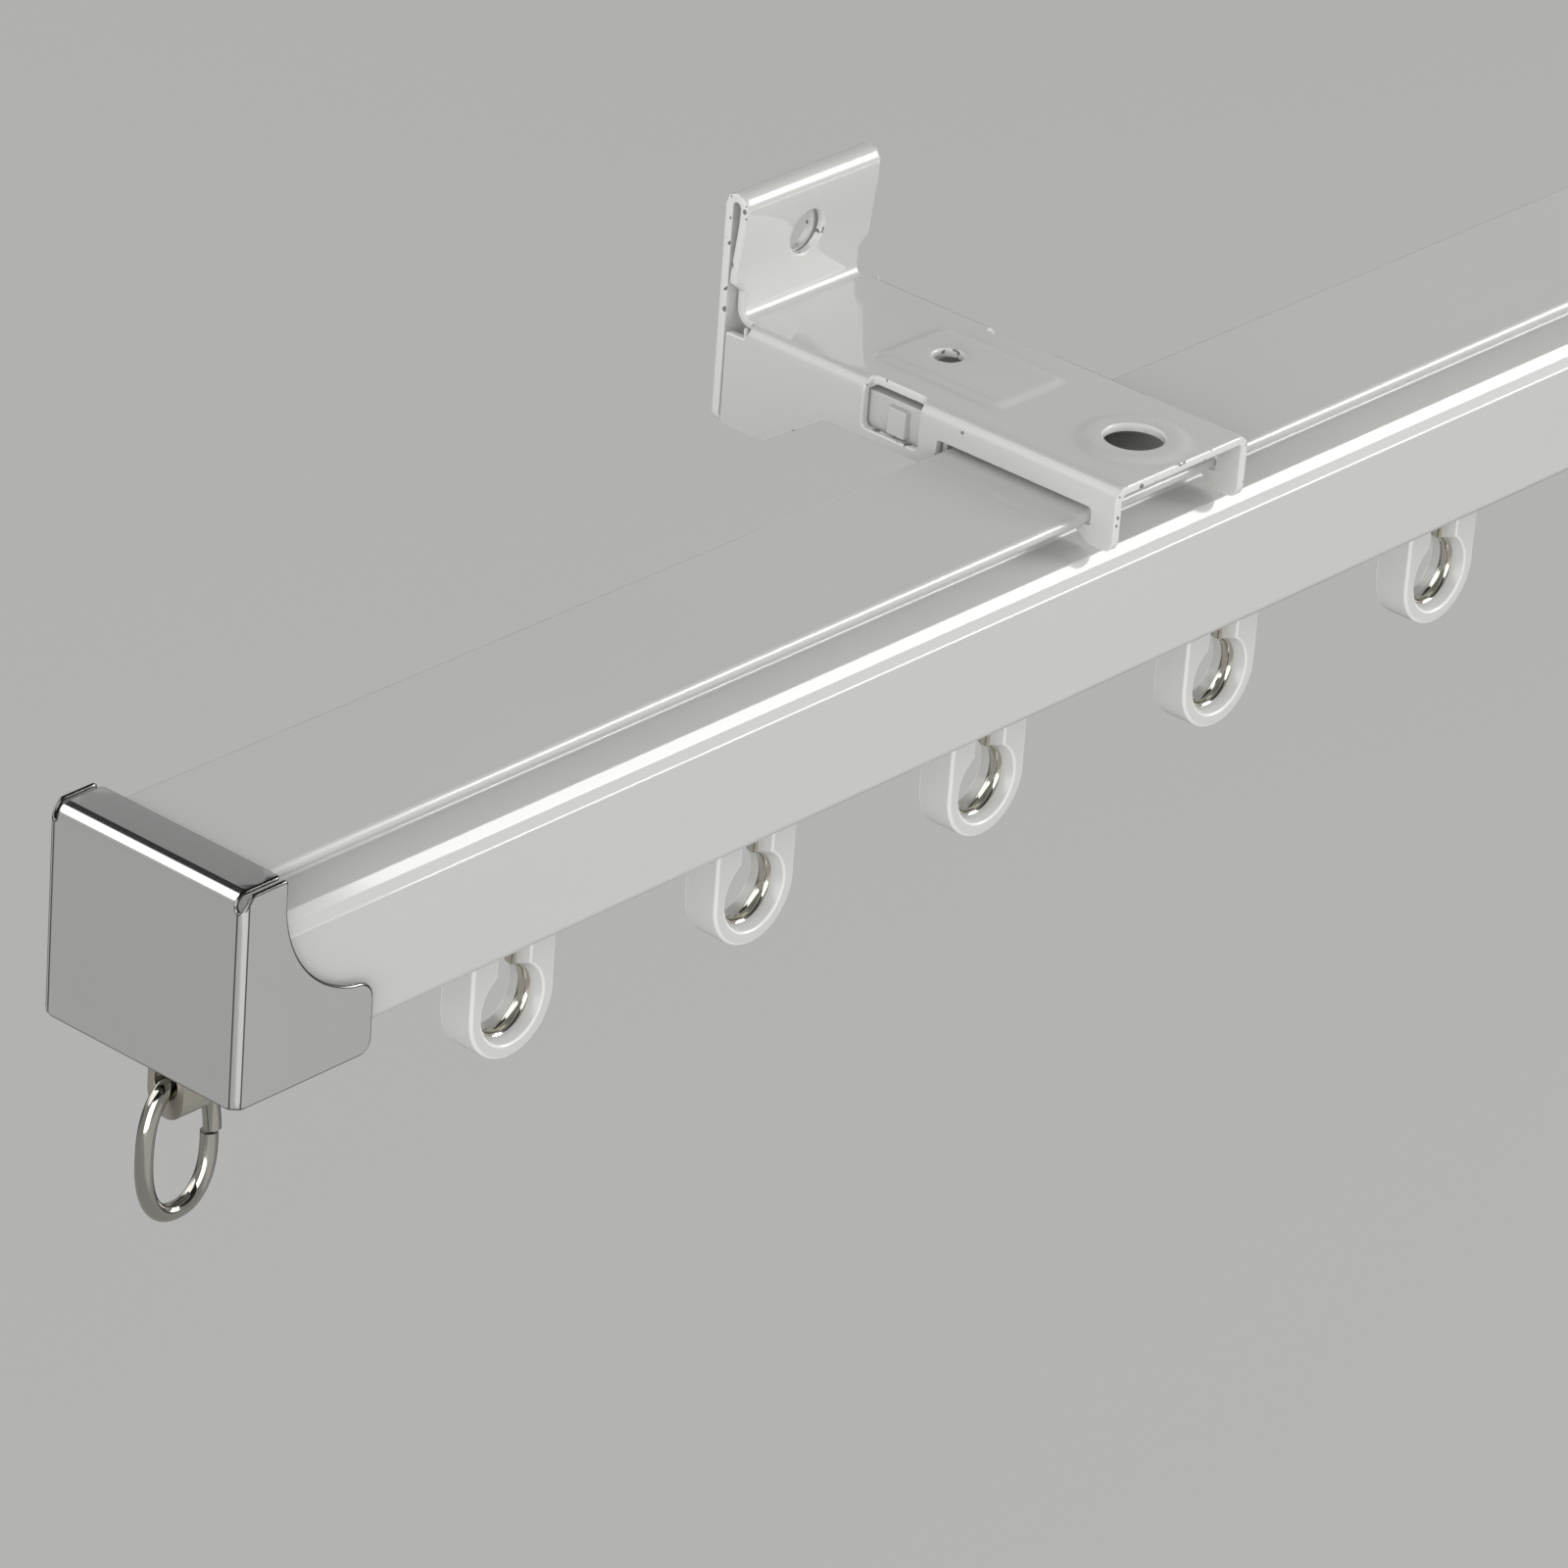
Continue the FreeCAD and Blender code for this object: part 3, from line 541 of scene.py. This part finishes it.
wire, link_wide, link_high = 0.875, 8.55, 14.05
lug_x, link_top = -204.35, -35.858
link_mid = link_top - link_high / 2
gap, squareness = 0.021, 2 / 2.35
angle = np.linspace(gap, 2 * np.pi - gap, 220)
near_cut = np.clip((np.abs(angle - np.pi) / np.pi - 0.8) / 0.2, 0, 1)
ends_apart = 0.2
link = np.column_stack([
    lug_x + link_wide / 2 * np.sign(np.cos(angle)) * np.abs(np.cos(angle)) ** squareness,
    rail_mid + ends_apart * np.sign(angle - np.pi) * near_cut ** 2,
    link_mid + link_high / 2 * np.sign(np.sin(angle)) * np.abs(np.sin(angle)) ** squareness])
step = np.concatenate([[0], np.cumsum(np.linalg.norm(np.diff(link, axis=0), axis=1))])
even = np.linspace(0, step[-1], 180)
link = np.column_stack([np.interp(even, step, link[:, k]) for k in range(3)])
worn, ahead = np.array([0.18, 0.08, 0.02]), np.array([[0.06], [0.05], [0.03]])
girth = np.concatenate([wire - worn, np.full(len(link), wire), wire - worn[::-1]])
lead = np.repeat(link[:1], 3, 0) + (link[0] - link[1]) * ahead
tail = np.repeat(link[-1:], 3, 0) + (link[-1] - link[-2]) * ahead[::-1]
link = np.concatenate([lead, link, tail])
nickel = satin("nickel_wire", (0.40, 0.385, 0.35), 0.03, 0.02, (300, 300, 300))
link_shape = tube(link, girth, (0, 1, 0))
piece("left_link", link_shape, nickel, "left_ring", "ring_nickel", "left_end_ring")
piece("right_link", mirrored(link_shape), nickel, "right_ring", "ring_nickel", "right_end_ring")


# Wall brackets: one blank of steel sheet each, pierced, then folded to a channel arm with side flanges
# and turned up and hemmed over into the double wall plate. The arm has a raised pad and a raised ring
# round the large hole; the flanges hook over the rail's front lip. Enamelled as the rail.
arm_top, arm_half, bracket_sheet = -7.2, 10.2, 1.0
side_flat, mid_bend = 8.8, 0.9
side_arc, bend_level = mid_bend * np.pi / 2, arm_top - 1.4
side_edge = side_flat + side_arc
wall_bend_start, wall_bend, wall_centre = -3.2, 1.5, -6.2
wall_arc = wall_bend * np.pi / 2
hem_radius, hem_level = 1.0, 5.2
hem_start = wall_bend_start + wall_arc + hem_level - wall_centre
back_start = hem_start + hem_radius * np.pi
plate_start, plate_foot, lean_from, hem_lean = -4.0, -18.9, -4.0, 0.8
pad_at, pad_long, pad_wide, pad_round, pad_high, pad_flank = -25.2, 8.8, 5.6, 1.6, 0.45, 1.3
boss_at, boss_radius, boss_high, boss_flank = -46.7, 6.1, 0.4, 1.5
bracket_at = 79.7


def flange(z):
    """Distance across the flat blank at which a flange reaches the level z."""
    return side_edge + (bend_level - z)


def ease(x):
    """A smooth step from 0 to 1."""
    x = np.clip(x, 0, 1)
    return x * x * (3 - 2 * x)


def pressed(s, t):
    """Height of the pad and of the ring above the arm, as the press leaves them."""
    along, aside = np.abs(s - pad_at) - pad_long + pad_round, np.abs(t) - pad_wide + pad_round
    within = np.minimum(np.maximum(along, aside), 0)
    outside = np.hypot(np.clip(along, 0, None), np.clip(aside, 0, None)) + within
    pad = pad_high * ease((pad_round - outside) / pad_flank)
    ring = boss_high * ease((boss_radius - np.hypot(s - boss_at, t)) / boss_flank)
    return np.where((s < -10) & (np.abs(t) < side_flat), np.maximum(pad, ring), 0)


def bracket_fold(middle):
    def fold(s, t, w):
        """s runs along the arm and on up the plate, t across. The flanges turn down past side_flat;
        past wall_bend_start the plate turns up, and past hem_start it turns over and comes down."""
        w = w + pressed(s, t)
        plate = (s > plate_start) & (np.abs(t) < side_edge - 0.004)
        past = np.where(plate, 0, np.clip(np.abs(t) - side_flat, 0, None))
        turn = np.clip(past / mid_bend, 0, np.pi / 2)
        flat = np.where(plate, np.abs(t), np.minimum(np.abs(t), side_flat))
        x = np.sign(t) * (flat + (mid_bend + w) * np.sin(turn))
        z = bend_level + (mid_bend + w) * np.cos(turn) - np.clip(past - side_arc, 0, None)
        rise = np.where(plate, np.clip(s - wall_bend_start, 0, None), 0)
        lift = np.clip(rise / wall_bend, 0, np.pi / 2)
        y = np.where(plate, np.minimum(s, wall_bend_start) + (wall_bend - w) * np.sin(lift), s)
        up = wall_centre - (wall_bend - w) * np.cos(lift) + np.clip(rise - wall_arc, 0, None)
        z = np.where(rise > 0, up, z)
        lean = hem_lean * ease((up - lean_from) / (hem_level - lean_from))
        y = y - np.where(rise > wall_arc, lean, 0)
        over = np.clip((s - hem_start) / hem_radius, 0, np.pi)
        hemmed, down = s > hem_start, np.clip(s - back_start, 0, None)
        y = np.where(hemmed, -bracket_sheet / 2 - hem_radius - (hem_radius + w) * np.cos(over), y)
        z = np.where(hemmed, hem_level + (hem_radius + w) * np.sin(over) - down, z)
        return np.column_stack([middle + x, y, z])
    return fold


blank_end = back_start + hem_level - plate_foot
hook_foot, hook_top, notch_top, heel = -14.25, -12.25, -10.3, -13.6
half_blank = [
    (-53.2, flange(hook_foot), 1.3), (-49.9, flange(hook_foot), 0.9), (-48.2, flange(-12.95), 0.45),
    (-48.2, flange(hook_top), 0.3), (-50.05, flange(hook_top), 0.3), (-50.05, flange(notch_top), 0.5),
    (-29.8, flange(notch_top), 0.5), (-29.8, flange(heel), 0.4), (-15.0, flange(heel), 1.2),
    (-7.0, flange(plate_foot), 1.2), (-1.2, flange(plate_foot), 0.6), (-1.2, side_edge, 0.3),
    (plate_start, side_edge, 0.4), (plate_start, 8.7, 0.5), (0.95, 8.7, 0.5), (2.2, arm_half, 0.5),
    (blank_end, arm_half, 1.2)]
blank = divided(rounded_loop(half_blank + [(s, -t, r) for s, t, r in reversed(half_blank)]), 0.7)
window = [(-27.4, 8.5, 1.3), (-20.0, 8.5, 0.6), (-20.0, flange(-12.4), 0.6), (-27.4, flange(-12.4), 0.6)]
round_turn = np.linspace(0, 2 * np.pi, 56, endpoint=False)
unit_circle = np.column_stack([np.cos(round_turn), np.sin(round_turn)])
wall_hole, front_hole, back_hole = 2.5, wall_bend_start + wall_arc - wall_centre, back_start + hem_level
windows = [divided(rounded_loop([(s, way * t, r) for s, t, r in window]), 0.6) for way in (1, -1)]
pierced = [*windows, 3.1 * unit_circle + (boss_at, 0), 1.6 * unit_circle + (-22.2, 0),
           wall_hole * unit_circle + (front_hole, 0), wall_hole * unit_circle + (back_hole, 0)]
fine = crossings_of(np.arange(-53, 14.2, 0.42), np.arange(-10.9, 11, 0.42))
s, t = fine[:, 0], fine[:, 1]
near_pad = (s < -14) & (s > -36) & (np.abs(t) < 6.2) & ((np.abs(s - pad_at) > 6.8) | (np.abs(t) > 3.6))
near_ring = (np.hypot(s - boss_at, t) < 6.5) & (np.hypot(s - boss_at, t) > 4.2)
near_side = (np.abs(t) > side_flat - 0.3) & (np.abs(t) < side_edge + 0.3) & (s < plate_start)
near_wall = ((s > -3.6) & (s < -0.4)) | ((s > hem_start - 0.3) & (s < back_start + 0.3))
fine = fine[near_pad | near_ring | near_side | near_wall]
coarse = crossings_of(np.arange(-52, 37.5, 1.7), np.arange(-19, 20, 1.7))
apart = np.sqrt(((coarse[:, None] - fine[None]) ** 2).sum(2).min(1)) > 0.8
blank_grid = np.concatenate([fine, coarse[apart]])
bracket_paint = enamel("bracket_enamel", (0.62, 0.625, 0.60), 0.325)
for side, middle in (("left", -bracket_at), ("right", bracket_at)):
    rims = [round_rim(0.22, 0.22)] * (1 + len(pierced))
    shape = sheet([blank] + pierced, rims, bracket_sheet, bracket_fold(middle), blank_grid)
    piece(side + "_wall_bracket", shape, bracket_paint, "track", "bracket_paint", side + "_bracket")


# Rail locks: white moulded slides inside the brackets. The nose catches under the rail's rear lip, and
# the ears show in the side windows, where a finger pulls them back.
def moulded(name, colour, rough, line_at):
    """Moulded plastic: faint flow clouding, fine spark texture, rims painted paler as a painted highlight,
    and a parting line along Y = line_at."""
    def surface(tap):
        place = tap.node("TexCoord", pick="Object")
        cloud = place.noise(60.0, 2.0)
        spark = place.noise(2600.0, 1.0)
        depth = place.node("SeparateXYZ", None, {0: place}, pick="Y")
        parting = 1 - abs(depth - line_at * mm).rise(0.03 * mm, 0.09 * mm)
        rim = tap.node("Attribute", {"attribute_name": "rim"}, pick="Fac")
        # The rims take 1.35 times the colour: a painted highlight along the edges.
        dark, painted_rim_light = [c * 0.96 for c in colour], [c * 1.35 for c in colour]
        plastic = (cloud * 0.8 + parting * 0.3).tint((*colour, 1), (*dark, 1))
        return {
            "Base Color": rim.tint(plastic, (*painted_rim_light, 1)),
            "Roughness": rough + cloud * 0.07 + parting * 0.1,
            "Normal": tap.node("Bump", None, {"Strength": 0.06, "Distance": 0.0001,
                                              "Height": spark * 0.5 + parting * 0.5}),
        }
    return finish(name, {"Coat Weight": 0.2, "Coat Roughness": 0.12}, surface)


lock_seam = -25.0
lock_white = moulded("lock_acetal", (0.60, 0.60, 0.585), 0.36, lock_seam)
for side in ("left", "right"):
    lock = side + "_rail_lock"
    piece(side + "_slide_lock", softened(lock, 0.25), lock_white, side + "_lock", "lock_plastic", lock)


# Runners: an off-white moulded shank over a strip of nickelled steel, which shows as a bright rim in the
# keyhole; a riveted pin at the head carries two black wheels that roll on the tracks.
axle_level, foot, head, eye_level = -25.0, -48.6, -21.2, -42.9
shank_half, shank_thick, core_thick = 5.7, 4.2, 1.8
eye_radius, slot_top = 3.8, -31.7


def keyhole(radius, slot):
    """Round hole with a slot upwards: the long arc of the circle, then the slot's round end."""
    corner = math.asin(slot / radius)
    arc = np.linspace(np.pi / 2 - corner, -3 * np.pi / 2 + corner, 60)
    low = [(radius * math.cos(a), eye_level + radius * math.sin(a), 0) for a in arc]
    return rounded_loop(low + [(-slot, slot_top, slot - 0.01), (slot, slot_top, slot - 0.01)], 10)


def flared_rim(run, depth, lip):
    """Rim of a hole that opens as a cone towards the face and ends in a small round lip, marked 1."""
    return np.array([(0, depth, 0), (0.5 * (run - lip), 0.5 * (depth + lip), 0), (run - lip, lip, 0),
                     (run - 0.55 * lip, 0.4 * lip, 1), (run, 0.08 * lip, 1), (run + 0.5 * lip, 0, 1)])


def turned(profile, x, steps=56):
    """A closed profile of (radius, distance along Y), turned about the pin's axis."""
    angle = np.linspace(0, 2 * np.pi, steps, endpoint=False)[:, None]
    radius, along = profile[None, :, 0], profile[None, :, 1]
    points = np.stack([x + radius * np.cos(angle), rail_mid + along + 0 * angle,
                       axle_level + radius * np.sin(angle)], 2).reshape(-1, 3)
    rows = np.arange(len(points)).reshape(steps, -1)
    after = np.roll(rows, -1, 0)
    quads = np.stack([rows, after, np.roll(after, -1, 1), np.roll(rows, -1, 1)], 2).reshape(-1, 4)
    return points, quads.tolist(), np.zeros(len(points))


def upright(x):
    """Places a front view (x, z) across the rail's middle."""
    return lambda u, v, w: np.column_stack([x + u, rail_mid - w, v])


def shank_place(x):
    def fold(u, v, w):
        """As upright, but behind the steel strip the round hole is drawn in to a straight bore."""
        away, flare_edge = np.hypot(u, v - eye_level), 4.62
        drawn = (eye_radius + 0.2 * (away - eye_radius)) / away
        draw = np.where((w < -0.5) & (away < flare_edge), drawn, 1)
        return upright(x)(u * draw, eye_level + (v - eye_level) * draw, w)
    return fold


runner_white = moulded("runner_nylon", (0.66, 0.665, 0.648), 0.26, rail_mid)
core_steel = satin("core_steel", (0.56, 0.535, 0.48), 0.05, 0.04, (300, 300, 300))
pin_steel = satin("pin_steel", (0.78, 0.78, 0.77), 0.16, 0.05, (600, 600, 600))
wheel_black = moulded("wheel_acetal", (0.013, 0.013, 0.014), 0.14, rail_mid)
foot_round, head_round = shank_half - 0.01, 4.6
shank_corners = [(-shank_half, foot, foot_round), (shank_half, foot, foot_round),
                 (shank_half, head, head_round), (-shank_half, head, head_round)]
shank_loop = divided(rounded_loop(shank_corners, 24), 1.2)
core_loop = rounded_loop([(-4.6, -44.8, 0.4), (-1.8, -47.5, 0.4), (1.8, -47.5, 0.4), (4.6, -44.8, 0.4),
                          (4.6, -24.1, 0.4), (1.8, -21.4, 0.4), (-1.8, -21.4, 0.4), (-4.6, -24.1, 0.4)])
boss_profile = rounded_loop([(1.0, -4.75, 0), (2.3, -4.75, 0.25), (2.3, 4.75, 0.25), (1.0, 4.75, 0)], 3)
half_pin = [(0, 7.45, 0), (1.3, 7.45, 0.55), (1.75, 6.95, 0.12), (1.72, 6.85, 0.05), (1.0, 6.85, 0)]
pin_profile = rounded_loop(half_pin + [(r, -y, bend) for r, y, bend in reversed(half_pin)], 5)
wheel_profile = rounded_loop([(1.06, 4.85, 0.12), (4.35, 4.85, 0.4), (4.35, 7.65, 0.85), (3.15, 7.65, 0.45),
                              (2.75, 6.75, 0.35), (1.06, 6.75, 0.12)], 7)
tread_from, tread_mid, tread_half = 4.0, 6.2, 1.4
off_middle = (wheel_profile[:, 1] - tread_mid) / tread_half
crown = np.clip(wheel_profile[:, 0] - tread_from, 0, None) * off_middle ** 2
wheel_profile = wheel_profile - np.column_stack([0.25 * crown, 0 * crown])
runner_places = (-161.9, -127.6, -92.9, -56.1, -19.4)
for number, x in enumerate(runner_places, 1):
    body = "runner_%d" % number
    shank_rims = [round_rim(0.32, 0.32, 6, 0.0), flared_rim(0.6, 1.2, 0.2)]
    shank = sheet([shank_loop, keyhole(eye_radius, 1.75)], shank_rims, shank_thick, shank_place(x))
    shank = joined(shank, turned(boss_profile, x, 40))
    piece(body + "_shank", shank, runner_white, body, "runner_plastic", body + "_body")
    core_rims = [round_rim(0.3, 0.3), round_rim(0.6, 0.88, 8)]
    core = sheet([core_loop, keyhole(3.4, 1.35)], core_rims, core_thick, upright(x))
    piece(body + "_strip", core, core_steel, body, "core_steel", body + "_core")
    piece(body + "_pin", turned(pin_profile, x, 40), pin_steel, body, "axle_steel", body + "_axle")
    for place, sign in (("front", -1), ("back", 1)):
        name = "%s_%s_wheel" % (body, place)
        disc = turned(wheel_profile * (1, sign), x)
        piece(name + "_disc", disc, wheel_black, name, "wheel_plastic", name)
